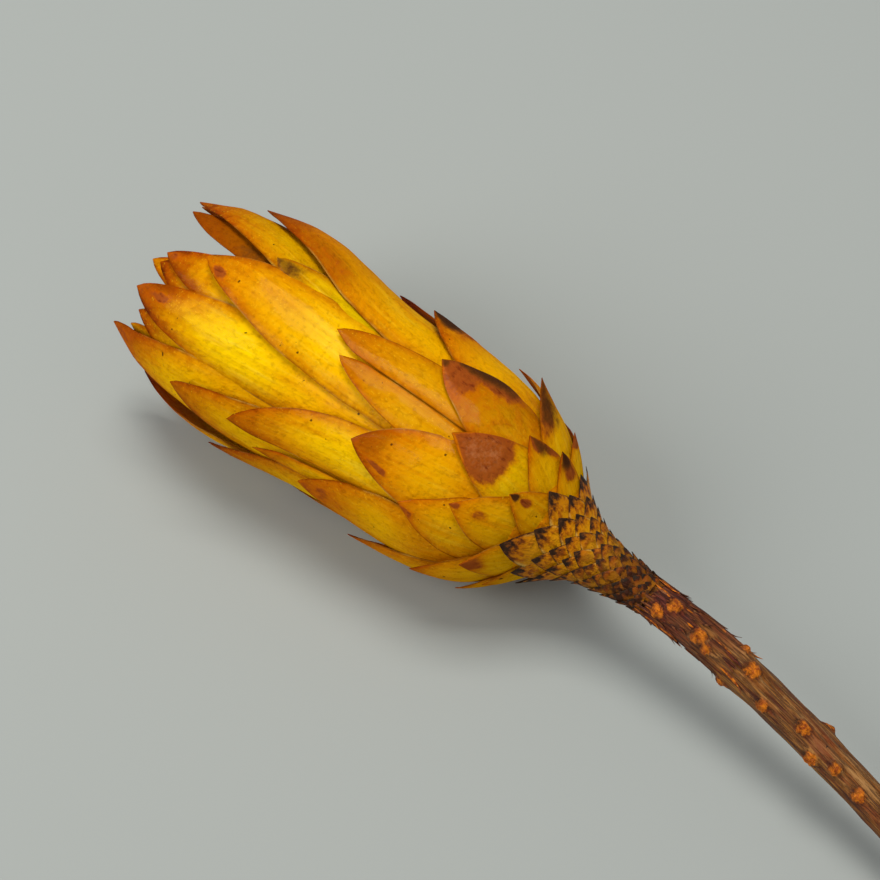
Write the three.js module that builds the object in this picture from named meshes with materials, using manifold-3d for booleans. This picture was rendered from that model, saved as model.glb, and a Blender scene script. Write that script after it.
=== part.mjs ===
// A dried protea flower head of the sugarbush kind on its own cut stem, lying on its side.
// Millimetres, +Z up. The surface it lies on is z = 0, the bract tips point along -X and
// the stem runs out along +X. The head is modelled upright about its own axis, as it grew,
// and then laid down as one group. Its spiral of bracts runs from the neck to the tips.
import * as THREE from 'three';
import Module from 'manifold-3d';
import { mergeVertices } from 'three/addons/utils/BufferGeometryUtils.js';

const wasm = await Module();
wasm.setup();

// ---------------------------------------------------------------- driving dimensions

const REST_SPOT = [-45.3, -0.6]; // the origin is here, on the flat spot the head rests on,
                                 // seen from the point under the neck
const NECK_CENTRE = 16.5;        // height of the head's axis over the surface, at the neck
const HEAD_TILT = 2;             // degrees by which the tips lie higher than the neck
const FACE_TURN = -28.5;         // turn 0 is this many degrees from the top, towards -Y
const SPIRAL_STEP = 137.6;       // degrees from one bract of the spiral to the next
const SPIRAL_START = 13;         // turn of bract number 0

const FIRST_SCALE = -106;        // the lowest scale of the neck
const LAST_TINY_SCALE = -44;     // scales up to here have one row of faces, the others two
const FIRST_BRACT = -16;         // the lowest golden bract, just over the neck scales
const LAST_SMALL_BRACT = -6;     // bracts up to here have fewer faces than the others
const LAST_BRACT = 47;           // the innermost bract, whose tip is the highest
const BLADE = 0.6;               // thickness of a bract or scale
const GAP = 0.3;                 // clearance between the pieces
const NECK_BASE = 0.3;           // the neck starts this far over the end of the stem
const WELD = 1e-4;               // points closer than this are one point

// Radius of the whole head over its height, from the neck to past the tips.
const HEAD_PROFILE = [
  [0, 3.3], [7, 4.3], [12.6, 5.6], [17.4, 8.5], [23.4, 13.6], [28, 16.4], [35, 18.5],
  [44, 18.8], [61, 19], [78.5, 20], [90.7, 17.5], [104.6, 11.3], [112, 8],
];
// Height of each tip over its number in the spiral.
const TIP_HEIGHTS = [
  [-130, 3], [-76, 10.6], [-47, 15.3], [-34, 17.6], [-26, 19.6], [-18, 22.3], [-13, 24.8],
  [-8, 28], [-3, 33.4], [0, 36.7], [5, 46.2], [10, 55], [13, 62], [18, 74], [24, 84.5],
  [30, 93], [36, 98], [42, 101], [47, 103],
];
// How deep the layers of bracts stack up on each other, over the height.
const LAYERS = [
  [0, 0], [12, 5.2], [16, 7.1], [20, 8.8], [25, 10.3], [30, 11.2], [40, 12.2], [60, 13.6],
  [84, 15.4], [93, 16.5], [98, 17.5], [103, 18.8],
];
// Width of a bract over the height of its tip.
const WIDTHS = [
  [3, 1.9], [12, 2.9], [18, 4.6], [22, 7], [27, 10.4], [38, 13], [60, 14], [85, 13.2],
  [103, 10.8],
];
// How finely each kind of blade is cut up along and across, and how far up it is widest.
const TINY_SCALE = { rows: 1, across: 3, widest: 0.45 };
const SCALE = { rows: 2, across: 3, widest: 0.45 };
const SMALL_BRACT = { rows: 3, across: 3, widest: 0.5 };
const LARGE_BRACT = { rows: 5, across: 4, widest: 0.42 };
const ROOT_WIDTH = 0.8;          // width of a blade at its root, for a widest part of 1
const EDGE_FULLNESS = 1.9;       // how far the two edges bow out under the tip
const TIP_ROUNDNESS = 0.85;      // 1 is a sharp tip, less is rounder
const SCALE_LENGTH = 2.8;        // from the root of a scale to its tip, along the axis
const LOWEST_SCALE_ROOT = 0.2;   // over the neck's lower end

const HEIGHT_WOBBLE = 0.03;      // tips are up to half this share higher or lower
const TURN_WOBBLE = 6;           // and up to half this many degrees to one side
const LEAST_LIFT = 0.25;         // a tip stands off the head by this much
const MORE_LIFT = 1.1;           // and by up to this much more

// The core under the neck's scales and the cup under the bracts: the heights of their rings,
// and how deep they lie under the head's surface there.
const NECK_CORE_HEIGHTS = [NECK_BASE, 5, 9, 12.5, 15, 18, 21];
const NECK_CORE_DEPTHS = [[0, 0.1], [5, 0.8], [9, 1.1], [21, 1.1]];
const CORE_DEPTHS = [[9, 1.5], [22, 1.6], [30, 2.4], [40, 3.2], [62, 3.4]];
const ROOT_SINK = 0.9;           // the bracts' roots are sunk this far into the cup
const ROOT_STEP = 0.5;           // and found to this height
const LOWEST_ROOT = 15;

// Bracts that don't follow the spiral quite: number, tip height, turn of the tip and turn
// of the body.
const SHIFTED_BRACTS = new Map([
  [-13, [24.7, 4, 4]], [-8, [27.9, 39.5, 36]], [-3, [33.3, 70, 67]], [0, [36.7, 12, 14]],
  [3, [38.7, -31, -33]], [5, [46.3, 41, 39]], [8, [50.2, -17, -11]], [10, [55.2, 72, 68]],
  [11, [56.9, -58, -60]], [13, [62.9, 19, 20]], [16, [70.5, -40, -31]],
  [18, [90.7, 76, 57]], [21, [88.8, 18, 18]], [24, [83.6, -46, -56]], [26, [79, 36, 35]],
  [27, [97.5, -102, -102]], [29, [98.5, -19, -8]], [31, [101.8, 69, 47]],
  [32, [101.8, -60, -46]], [34, [96.5, 10, 12]], [37, [96.1, -31, -38]], [39, [100, 51, 45]],
  [42, [97.2, 3, 0]], [45, [98, -50, -52]], [46, [99, 2, 6]], [47, [91, 22, 24]],
]);

// Tips that stand off the head more than the rest: number and distance.
const LOOSE_TIPS = new Map([
  [-3, 2.2], [10, 1.2], [18, 1], [24, 1.2], [27, 1.5], [31, 1], [32, 1.3],
]);
// Bracts that are wider than the rest: number and how many times as wide.
const WIDER_BRACTS = new Map([[31, 1.12], [32, 1.35]]);

const RECEPTACLE_TOP = 60;       // rim of the cup that the inner bracts grow from
const RECEPTACLE_HEIGHTS = [9, 14, 18, 22, 27, 32, 38, 46, RECEPTACLE_TOP];
const HIGHEST_ROOT = RECEPTACLE_TOP - 4;
const CUP_RADIUS = 12.2;         // inside of that cup
const CUP_FLOOR = 36;

// The surface that parts the neck from the bracts over it rises outwards from its point on
// the axis, as the scales do. Tips under its height SEPARATION belong to the neck.
const SEPARATION = 22.6;
const SEPARATION_START = 9.5;
const SEPARATION_STEP = 1.6;
const SEPARATION_POINT = 9.1;
const SEPARATION_LEAST_RADIUS = 0.4;
const SEPARATION_GAP = 1.4 * GAP; // along the axis, which leaves GAP across the surface
const SEPARATION_RISE = 3;       // from SEPARATION to the rim of the two cutting solids
const CUTTER_RADIUS = 40;
const CUTTER_BOTTOM = -5;
const CUTTER_TOP = 130;

const NECK_SIDES = 18;
const CUP_SIDES = 21;
const CUTTER_SIDES = 32;
const FLORET_SIDES = 14;

// The bundle of florets inside the cup: the outline of its core as radius and height, and
// the rings of styles that stand out of it as count, radius and height of their tips.
const FLORET_FLOOR = CUP_FLOOR + GAP;
const FLORET_CORE = [[0, FLORET_FLOOR], [6.5, FLORET_FLOOR], [8.2, 52.3], [8.2, 72], [6, 80], [0, 83]];
const FLORET_RINGS = [[1, 0, 89], [6, 5, 88], [10, 7.6, 86], [14, 8.8, 82]];
const STYLE_RADIUS = 1.3;
const STYLE_SIDES = 4;
const STYLE_FOOT = 56;
const STYLE_HEIGHT_WOBBLE = 3;
const STYLE_TURN_WOBBLE = 0.3;

const STEM_RADIUS = 3.1;
const STEM_SIDES = 10;
const STEM_STEPS = 20;
const STEM_PATH = [
  [0, 0, NECK_CENTRE], [12, -0.8, 15.6], [30, -3.1, 12.8], [48, -6.2, 9.9], [80, -12.8, 5.6],
  [118, -21.5, 2.95],
];
// Raised leaf scars near the neck: distance along the stem, degrees from its top towards -Y.
const FIRST_SCARS = [
  [2.4, 49], [4.3, 9], [10.1, 32], [12.1, 47], [16.5, -41], [16.8, 112], [19.6, 1], [24.4, 55],
  [31.3, 18], [35.2, 69], [39, 35], [44.3, 41], [7.5, -120], [13.5, -170], [22.5, -125],
  [28.5, 170], [33.5, -80], [41.5, -150],
];
const MORE_SCARS = 14;           // further scars, set round the stem by the bracts' spiral
const MORE_SCARS_START = 50;
const SCAR_STEP = 5.1;
const SCAR_WOBBLE = 2;
const SCAR_TURN = 30;
const SCAR_SIZE = [1.8, 1.1, 0.75]; // half length, half width and half height of one
const SCAR_SINK = 0.1;

const GROUND_SIZE = [400, 200, 40];

// ---------------------------------------------------------------- helpers

const radians = THREE.MathUtils.degToRad;

// A smooth function through hand-set points, a cubic between each pair.
function smoothLine(points) {
  const slope = (k) => {
    const before = points[Math.max(k - 1, 0)];
    const after = points[Math.min(k + 1, points.length - 1)];
    return (after[1] - before[1]) / (after[0] - before[0]);
  };
  return (x) => {
    let k = 0;
    while (k < points.length - 2 && x > points[k + 1][0]) k += 1;
    const [x0, y0] = points[k];
    const [x1, y1] = points[k + 1];
    const span = x1 - x0;
    const s = THREE.MathUtils.clamp((x - x0) / span, 0, 1);
    const rest = 1 - s;
    return y0 * (1 + 2 * s) * rest * rest + slope(k) * span * s * rest * rest
      + y1 * (3 - 2 * s) * s * s - slope(k + 1) * span * s * s * rest;
  };
}

const headRadius = smoothLine(HEAD_PROFILE);
const tipHeight = smoothLine(TIP_HEIGHTS);
const layerAt = smoothLine(LAYERS);
const widthAt = smoothLine(WIDTHS);
const coreDepth = smoothLine(CORE_DEPTHS);
const neckCoreDepth = smoothLine(NECK_CORE_DEPTHS);

// A repeatable number from 0 to 1 for each bract and each purpose.
function chance(number, purpose) {
  const wave = Math.sin(number * 12.9898 + purpose * 78.233) * 43758.5453;
  return wave - Math.floor(wave);
}

function toSolid(geometry) {
  const bare = geometry.clone();
  bare.deleteAttribute('normal');
  bare.deleteAttribute('uv');
  const merged = mergeVertices(bare, WELD);
  return new wasm.Manifold(new wasm.Mesh({
    numProp: 3,
    vertProperties: new Float32Array(merged.attributes.position.array),
    triVerts: new Uint32Array(merged.index.array),
  }));
}

function toGeometry(solid) {
  const mesh = solid.getMesh();
  const geometry = new THREE.BufferGeometry();
  const positions = new THREE.BufferAttribute(mesh.vertProperties, mesh.numProp);
  geometry.setAttribute('position', positions);
  geometry.setIndex(new THREE.BufferAttribute(mesh.triVerts, 1));
  geometry.computeVertexNormals();
  return geometry;
}

// Joins solids, and keeps the one main body: no loose scraps and no sealed hollows.
function fuse(solids) {
  return mainBody(solids.reduce((joined, solid) => joined.add(solid)));
}

function mainBody(solid) {
  const bodies = solid.decompose();
  return bodies.reduce((best, body) => (body.volume() > best.volume() ? body : best));
}

function turned(radius, turn, height) {
  return new THREE.Vector3(radius * Math.cos(turn), radius * Math.sin(turn), height);
}

// A closed solid of revolution about the head's axis, from [radius, height] corners.
function lathe(corners, sides) {
  const outline = corners.map(([radius, height]) => new THREE.Vector2(radius, height));
  const geometry = new THREE.LatheGeometry(outline, sides);
  geometry.rotateX(Math.PI / 2);
  geometry.scale(1, -1, 1);
  const index = geometry.index.array;
  for (let k = 0; k < index.length; k += 3) [index[k], index[k + 1]] = [index[k + 1], index[k]];
  return geometry;
}

// A closed blade from rows of outer and inner points. The last row is the pointed tip.
function bladeGeometry(outerRows, innerRows) {
  const across = outerRows[0].length;
  const rows = outerRows.length - 1;
  const positions = [];
  [...outerRows, ...innerRows].flat().forEach((point) => positions.push(...point.toArray()));
  const outer = (row, k) => (row === rows ? rows * across : row * across + k);
  const inner = (row, k) => outer(row, k) + rows * across + 1;
  const index = [];
  const quad = (a, b, c, d) => index.push(a, b, c, a, c, d);
  for (let row = 0; row < rows; row += 1) {
    for (let k = 0; k < across - 1; k += 1) {
      const faces = row === rows - 1
        ? [[outer(row, k), outer(row, k + 1), outer(row + 1, k)]]
        : [[outer(row, k), outer(row, k + 1), outer(row + 1, k + 1)],
          [outer(row, k), outer(row + 1, k + 1), outer(row + 1, k)]];
      const shift = rows * across + 1;
      faces.forEach(([a, b, c]) => index.push(a, b, c, a + shift, c + shift, b + shift));
    }
    quad(inner(row, 0), outer(row, 0), outer(row + 1, 0), inner(row + 1, 0));
    quad(outer(row, across - 1), inner(row, across - 1), inner(row + 1, across - 1),
      outer(row + 1, across - 1));
  }
  for (let k = 0; k < across - 1; k += 1) {
    quad(inner(0, k), inner(0, k + 1), outer(0, k + 1), outer(0, k));
  }
  const geometry = new THREE.BufferGeometry();
  geometry.setAttribute('position', new THREE.Float32BufferAttribute(positions, 3));
  geometry.setIndex(index);
  return geometry;
}

// ---------------------------------------------------------------- bracts and scales

// Where one bract of the spiral stands, and its size.
function bractForm(number) {
  const spiralTurn = SPIRAL_START - SPIRAL_STEP * number;
  const spiralTip = tipHeight(number);
  const [tip, tipTurn, bodyTurn] = SHIFTED_BRACTS.get(number)
    ?? [spiralTip + (chance(number, 1) - 0.5) * HEIGHT_WOBBLE * spiralTip,
      spiralTurn + (chance(number, 2) - 0.5) * TURN_WOBBLE, spiralTurn];
  const lift = LOOSE_TIPS.get(number) ?? LEAST_LIFT + MORE_LIFT * chance(number, 3) ** 2;
  return {
    tip,
    tipTurn: radians(FACE_TURN + tipTurn),
    bodyTurn: radians(FACE_TURN + bodyTurn),
    layer: layerAt(spiralTip),
    width: widthAt(spiralTip) * (WIDER_BRACTS.get(number) ?? 1),
    lift: number < FIRST_BRACT ? 0 : lift,
  };
}

// Half the width at share s of the way from root to tip, for a width of 1.
function outlineShare(s, widest) {
  if (s < widest) return 0.5 * (ROOT_WIDTH + (1 - ROOT_WIDTH) * Math.sin((s / widest) * Math.PI / 2));
  return 0.5 * (1 - ((s - widest) / (1 - widest)) ** EDGE_FULLNESS) ** TIP_ROUNDNESS;
}

// One blade that hugs the head in its own layer, from its root to its tip.
function blade(form, root, { rows, across, widest }) {
  const outerRows = [];
  const innerRows = [];
  for (let row = 0; row <= rows; row += 1) {
    const s = row / rows;
    const height = root + (form.tip - root) * s;
    const depth = Math.max(form.layer - layerAt(height), 0);
    const radius = headRadius(height) - depth + form.lift * s ** 4;
    const turn = form.bodyTurn + (form.tipTurn - form.bodyTurn) * s * s;
    const half = form.width * outlineShare(s, widest) / radius;
    const sides = [...Array(across).keys()].map((k) => 2 * k / (across - 1) - 1);
    const steps = row === rows ? [0] : sides;
    outerRows.push(steps.map((side) => turned(radius, turn + side * half, height)));
    innerRows.push(steps.map((side) => turned(radius - BLADE, turn + side * half, height)));
  }
  return bladeGeometry(outerRows, innerRows);
}

// The height where a blade has sunk a little way into the core.
function rootHeight(form) {
  const sunk = (height) => form.layer - layerAt(height) >= coreDepth(height) + ROOT_SINK;
  let height = HIGHEST_ROOT;
  while (height > LOWEST_ROOT && !sunk(height)) height -= ROOT_STEP;
  return height;
}

// The surface between the neck's scales and the bracts over them, raised by some height.
function separationCorners(raise) {
  const corners = [];
  for (let height = SEPARATION_START; height <= SEPARATION; height += SEPARATION_STEP) {
    const radius = headRadius(height) - (layerAt(SEPARATION) - layerAt(height));
    corners.push([Math.max(radius, SEPARATION_LEAST_RADIUS), height + raise]);
  }
  return corners;
}

function neckScales() {
  const rings = NECK_CORE_HEIGHTS.map((height) => [headRadius(height) - neckCoreDepth(height), height]);
  const core = lathe([[0, NECK_BASE], ...rings, [0, NECK_CORE_HEIGHTS.at(-1)]], NECK_SIDES);
  const scales = [];
  for (let number = FIRST_SCALE; number < FIRST_BRACT; number += 1) {
    const form = bractForm(number);
    const root = Math.max(form.tip - SCALE_LENGTH, NECK_BASE + LOWEST_SCALE_ROOT);
    const kind = number < LAST_TINY_SCALE ? TINY_SCALE : SCALE;
    if (form.tip < SEPARATION) scales.push(blade(form, root, kind));
  }
  const below = lathe([
    [0, CUTTER_BOTTOM], [CUTTER_RADIUS, CUTTER_BOTTOM],
    [CUTTER_RADIUS, SEPARATION + SEPARATION_RISE],
    ...separationCorners(0).reverse(), [0, SEPARATION_POINT],
  ], CUTTER_SIDES);
  return mainBody(fuse([core, ...scales].map(toSolid)).intersect(toSolid(below)));
}

function receptacle() {
  const rings = RECEPTACLE_HEIGHTS.map((height) => [headRadius(height) - coreDepth(height), height]);
  return lathe([
    [0, RECEPTACLE_HEIGHTS[0]], ...rings,
    [CUP_RADIUS, RECEPTACLE_TOP], [CUP_RADIUS, CUP_FLOOR], [0, CUP_FLOOR],
  ], CUP_SIDES);
}

function bracts(floor) {
  const blades = [];
  for (let number = FIRST_BRACT; number <= LAST_BRACT; number += 1) {
    const form = bractForm(number);
    const kind = number <= LAST_SMALL_BRACT ? SMALL_BRACT : LARGE_BRACT;
    blades.push(blade(form, rootHeight(form), kind));
  }
  const above = lathe([
    [0, SEPARATION_START + SEPARATION_GAP], ...separationCorners(SEPARATION_GAP),
    [CUTTER_RADIUS, SEPARATION + SEPARATION_RISE + 1],
    [CUTTER_RADIUS, CUTTER_TOP], [0, CUTTER_TOP],
  ], CUTTER_SIDES);
  const whole = fuse([receptacle(), ...blades].map(toSolid));
  return mainBody(whole.intersect(toSolid(above)).subtract(floor));
}

// ---------------------------------------------------------------- florets

// The packed florets inside the cup: a slim core with pointed styles standing out of it.
function florets() {
  const pieces = [lathe(FLORET_CORE, FLORET_SIDES)];
  FLORET_RINGS.forEach(([count, radius, top], ring) => {
    for (let k = 0; k < count; k += 1) {
      const turn = (k + 0.5 * ring) * 2 * Math.PI / count + chance(k, ring) * STYLE_TURN_WOBBLE;
      const height = top - STYLE_HEIGHT_WOBBLE * chance(k, ring + 5);
      const style = new THREE.ConeGeometry(STYLE_RADIUS, height - STYLE_FOOT, STYLE_SIDES);
      style.rotateX(Math.PI / 2);
      style.translate(...turned(radius, turn, (height + STYLE_FOOT) / 2).toArray());
      pieces.push(style);
    }
  });
  return fuse(pieces.map(toSolid));
}

// ---------------------------------------------------------------- stem

function stem(floor) {
  const path = new THREE.CatmullRomCurve3(STEM_PATH.map((point) => new THREE.Vector3(...point)));
  const section = new THREE.Shape();
  for (let k = 0; k < STEM_SIDES; k += 1) {
    const turn = 2 * Math.PI * k / STEM_SIDES;
    const corner = [STEM_RADIUS * Math.cos(turn), STEM_RADIUS * Math.sin(turn)];
    if (k) section.lineTo(...corner);
    else section.moveTo(...corner);
  }
  const options = { steps: STEM_STEPS, extrudePath: path, bevelEnabled: false };
  const pieces = [new THREE.ExtrudeGeometry(section, options)];
  const scars = [...FIRST_SCARS];
  for (let k = 0; k < MORE_SCARS; k += 1) {
    const distance = MORE_SCARS_START + SCAR_STEP * k + SCAR_WOBBLE * chance(k, 20);
    scars.push([distance, SCAR_TURN + SPIRAL_STEP * k]);
  }
  scars.forEach(([distance, turn]) => pieces.push(leafScar(path, distance, radians(turn))));
  return mainBody(fuse(pieces.map(toSolid)).subtract(floor));
}

// One raised leaf scar, a low oval bump at a distance along the stem and a turn from its top.
function leafScar(path, distance, turn) {
  const share = distance / path.getLength();
  const along = path.getTangentAt(share);
  const aside = new THREE.Vector3().crossVectors(along, new THREE.Vector3(0, 0, 1)).normalize();
  const out = new THREE.Vector3().crossVectors(aside, along).applyAxisAngle(along, turn);
  const width = new THREE.Vector3().crossVectors(out, along);
  const place = path.getPointAt(share).addScaledVector(out, STEM_RADIUS - SCAR_SINK);
  const bump = new THREE.IcosahedronGeometry(1, 0);
  bump.scale(...SCAR_SIZE);
  bump.applyMatrix4(new THREE.Matrix4().makeBasis(along, width, out).setPosition(place));
  return bump;
}

// ---------------------------------------------------------------- assembly

const flower = new THREE.Group();
flower.position.set(-REST_SPOT[0], -REST_SPOT[1], 0);
const head = new THREE.Group();
head.position.set(0, 0, NECK_CENTRE);
head.rotation.y = radians(HEAD_TILT - 90);
head.updateMatrix();
flower.add(head);

// All that would reach under the surface the flower lies on, in the flower's own frame.
const ground = new THREE.BoxGeometry(...GROUND_SIZE).translate(0, 0, -GROUND_SIZE[2] / 2);
const floorUnderStem = toSolid(ground);
const floorUnderHead = toSolid(ground.clone().applyMatrix4(head.matrix.clone().invert()));

function addPiece(group, name, solid, colour, roughness) {
  const material = new THREE.MeshStandardMaterial({ color: colour, roughness, metalness: 0 });
  const piece = new THREE.Mesh(toGeometry(solid), material);
  piece.name = name;
  group.add(piece);
}

addPiece(flower, 'stem', stem(floorUnderStem), '#6b3420', 0.8);
addPiece(head, 'neck_scales', neckScales(), '#9c5f14', 0.65);
addPiece(head, 'bracts', bracts(floorUnderHead), '#e9a208', 0.45);
addPiece(head, 'florets', florets(), '#d9c9a0', 0.85);

export default flower;
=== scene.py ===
"""A dried protea flower head on its own cut stem, lying on a pale studio floor.

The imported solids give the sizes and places. Each of the four nodes is replaced by finer
pieces made here: bracts, neck scales, stem and florets.
"""
import math

import bpy
from mathutils import Matrix, Vector, noise


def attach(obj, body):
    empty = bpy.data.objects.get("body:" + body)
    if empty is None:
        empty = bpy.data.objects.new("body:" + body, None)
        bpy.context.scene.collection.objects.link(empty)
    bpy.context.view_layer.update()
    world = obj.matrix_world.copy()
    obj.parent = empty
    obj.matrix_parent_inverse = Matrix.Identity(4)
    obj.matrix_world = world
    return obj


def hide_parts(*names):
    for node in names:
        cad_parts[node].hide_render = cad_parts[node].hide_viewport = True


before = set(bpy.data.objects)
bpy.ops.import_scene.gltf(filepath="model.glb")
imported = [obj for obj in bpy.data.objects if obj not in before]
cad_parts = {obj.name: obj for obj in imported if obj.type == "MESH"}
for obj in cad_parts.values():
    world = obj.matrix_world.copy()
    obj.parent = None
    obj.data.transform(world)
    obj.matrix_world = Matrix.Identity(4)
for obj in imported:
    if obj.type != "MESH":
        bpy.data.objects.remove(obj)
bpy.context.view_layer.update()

# ------------------------------------------------------------------ sizes, in millimetres

MM = 0.001
NECK = Vector((45.3, 0.6, 16.5))      # where the head's axis starts, over the stem's end
HEAD_TILT = math.radians(2)           # the tips lie a little higher than the neck
FACE_TURN = -28.5                     # turn 0 is this many degrees from the top, towards -Y
SPIRAL_STEP = 137.6                   # degrees from one bract of the spiral to the next
SPIRAL_START = 13                     # turn of bract number 0
HEIGHT_WOBBLE = 0.03                  # tips are up to half this share higher or lower
TURN_WOBBLE = 6                       # and up to half this many degrees to one side
LEAST_LIFT, MORE_LIFT = 0.25, 1.1     # how far a tip stands off the head, at least and more

FIRST_SCALE = -152                    # the lowest scale of the neck
NECK_FOOT = -0.9                      # the lowest scales lap over the stem's end
FIRST_BRACT = -16                     # the lowest golden bract, just over the neck scales
FIRST_MIDDLE_BRACT = 4                # bracts from here on are in the middle piece
FIRST_SLIM_BRACT = 13                 # bracts from here on are long, slim and smoother
FIRST_UPPER_BRACT = 22                # bracts from here on are in the upper piece
LAST_BRACT = 47                       # the innermost bract

# Radius of the whole head over its height, from the neck to past the tips.
HEAD_PROFILE = [
    (0, 3.3), (7, 4.3), (12.6, 5.6), (17.4, 8.5), (23.4, 13.6), (28, 16.4), (35, 18.5),
    (44, 18.8), (61, 19), (78.5, 20), (90.7, 17.5), (104.6, 11.3), (112, 8),
]
# Height of each tip over its number in the spiral.
TIP_HEIGHTS = [
    (-156, 0.9), (-130, 3), (-76, 10.6), (-47, 15.3), (-34, 17.6), (-26, 19.6), (-18, 22.3),
    (-13, 24.8), (-8, 28), (-3, 33.4), (0, 36.7), (5, 46.2), (10, 55), (13, 62), (18, 74),
    (24, 84.5), (30, 93), (36, 98), (42, 101), (47, 103),
]
# How deep the layers of bracts stack up on each other, over the height.
LAYERS = [
    (0, 0), (12, 5.2), (16, 7.1), (20, 8.8), (25, 10.3), (30, 11.2), (40, 12.2), (60, 13.6),
    (84, 15.4), (93, 16.5), (98, 17.5), (103, 18.8),
]
# Width of a bract over the height of its tip.
WIDTHS = [
    (0, 1.5), (3, 2.2), (12, 4.0), (18, 6.2), (22, 8.6), (27, 11.4), (38, 13), (60, 14),
    (85, 13.2), (103, 10.8),
]
# Length of the pointed part of a bract for a width of 1, how full its edges bow out, and how
# sharp its tip is (1 sharp, less is rounder), over the height of its tip.
POINT_LENGTHS = [(5, 0.52), (25, 0.58), (37, 1.0), (50, 1.15), (62, 1.7), (85, 2.2), (103, 2.4)]
EDGE_FULLNESS = [(5, 1.4), (25, 1.5), (37, 1.7), (50, 2.2), (70, 2.4), (103, 2.1)]
TIP_ROUNDNESS = [(5, 1), (25, 0.92), (37, 0.95), (50, 0.84), (62, 0.74), (103, 0.7)]
# How deep the woody cup and the neck's core lie under the head's surface, over the height.
CORE_DEPTHS = [(9, 1.5), (22, 1.6), (30, 2.4), (40, 3.2), (62, 3.4)]
NECK_CORE_DEPTHS = [(0, 0.1), (5, 0.8), (9, 1.1), (21, 1.1)]
CUP_HEIGHTS = (9.5, 12, 15, 18, 22, 27, 32, 38, 46, 60)
NECK_CORE_HEIGHTS = (0.3, 3, 6, 9, 12, 15)
CORE_SIDES = 40
RECEPTACLE_TOP = 60                   # rim of the cup that the inner bracts grow from
CUP_RADIUS = 12.2                     # inside of that cup
CUP_FLOOR = 36
CUP_BEVEL = 1                         # between the cup's wall and its floor
ROOT_SINK, ROOT_STEP = 0.9, 0.5       # how far roots are sunk, and how finely that is found
LOWEST_ROOT, HIGHEST_ROOT = 15, 56

# Bracts that don't follow the spiral quite: tip height, turn of the tip, turn of the body.
SHIFTED_BRACTS = {
    -13: (24.7, 4, 4), -8: (27.9, 39.5, 36), -3: (33.3, 70, 67), 0: (36.7, 12, 14),
    3: (38.7, -31, -33), 5: (46.3, 41, 39), 8: (50.2, -17, -11), 10: (55.2, 72, 68),
    11: (56.9, -58, -60), 13: (62.9, 19, 20), 16: (70.5, -40, -31), 18: (90.7, 76, 57),
    21: (88.8, 18, 18), 24: (83.6, -46, -56), 26: (79, 36, 35), 27: (97.5, -102, -102),
    29: (98.5, -19, -8), 31: (101.8, 69, 47), 32: (101.8, -60, -46), 34: (96.5, 10, 12),
    37: (96.1, -31, -38), 39: (100, 51, 45), 42: (97.2, 3, 0), 45: (98, -50, -52),
    46: (99, 2, 6), 47: (91, 22, 24),
}
# Tips that stand off the head more than the rest, in millimetres.
LOOSE_TIPS = {-3: 2.2, 10: 1.2, 18: 1, 24: 1.2, 27: 1.5, 31: 1, 32: 1.3}
WIDER_BRACTS = {31: 1.12, 32: 1.35}      # times the usual width

# The stem's middle line from the neck, and how thick it is over the distance along it.
STEM_PATH = [
    (0, 0, 16.5), (12, -0.8, 15.6), (30, -3.1, 12.8), (48, -6.2, 9.9), (80, -12.8, 5.6),
    (118, -21.5, 2.95),
]
STEM_THICKNESS = [(0, 3.1), (8, 3.05), (30, 2.9), (60, 2.75), (100, 2.9), (121, 3.0)]
# Leaf scars near the neck: distance along the stem, degrees from its top towards -Y.
FIRST_SCARS = [
    (2.4, 49), (4.3, 9), (10.1, 32), (12.1, 47), (16.5, -41), (16.8, 112), (19.6, 1),
    (24.4, 55), (31.3, 18), (35.2, 69), (39, 35), (44.3, 41), (7.5, -120), (13.5, -170),
    (22.5, -125), (28.5, 170), (33.5, -80), (41.5, -150),
]
# Further scars, set round the stem by the bracts' spiral.
MORE_SCARS, MORE_SCARS_START, SCAR_STEP, SCAR_WOBBLE, SCAR_TURN = 14, 50, 5.1, 2, 30

# ------------------------------------------------------------------ small helpers


def smooth_line(points):
    """A smooth function through given points, a cubic between each pair."""
    def slope(k):
        before, after = points[max(k - 1, 0)], points[min(k + 1, len(points) - 1)]
        return (after[1] - before[1]) / (after[0] - before[0])

    def value(x):
        k = 0
        while k < len(points) - 2 and x > points[k + 1][0]:
            k += 1
        (x0, y0), (x1, y1) = points[k], points[k + 1]
        span = x1 - x0
        s = min(max((x - x0) / span, 0), 1)
        rest = 1 - s
        return (y0 * (1 + 2 * s) * rest * rest + slope(k) * span * s * rest * rest
                + y1 * (3 - 2 * s) * s * s - slope(k + 1) * span * s * s * rest)

    return value


head_radius = smooth_line(HEAD_PROFILE)
tip_height = smooth_line(TIP_HEIGHTS)
layer_at = smooth_line(LAYERS)
width_at = smooth_line(WIDTHS)
point_length = smooth_line(POINT_LENGTHS)
edge_fullness = smooth_line(EDGE_FULLNESS)
tip_roundness = smooth_line(TIP_ROUNDNESS)
core_depth = smooth_line(CORE_DEPTHS)
neck_core_depth = smooth_line(NECK_CORE_DEPTHS)
stem_thickness = smooth_line(STEM_THICKNESS)


def chance(number, purpose):
    """A repeatable number from 0 to 1 for each bract and each purpose."""
    wave = math.sin(number * 12.9898 + purpose * 78.233) * 43758.5453
    return wave - math.floor(wave)


def wander(*where):
    """A smooth repeatable number from about -1 to 1 for each place."""
    return noise.noise(Vector(where))


HEAD_AXIS = Vector((-math.cos(HEAD_TILT), 0, math.sin(HEAD_TILT)))
HEAD_UP = Vector((math.sin(HEAD_TILT), 0, math.cos(HEAD_TILT)))
HEAD_SIDE = Vector((0, 1, 0))


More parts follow.
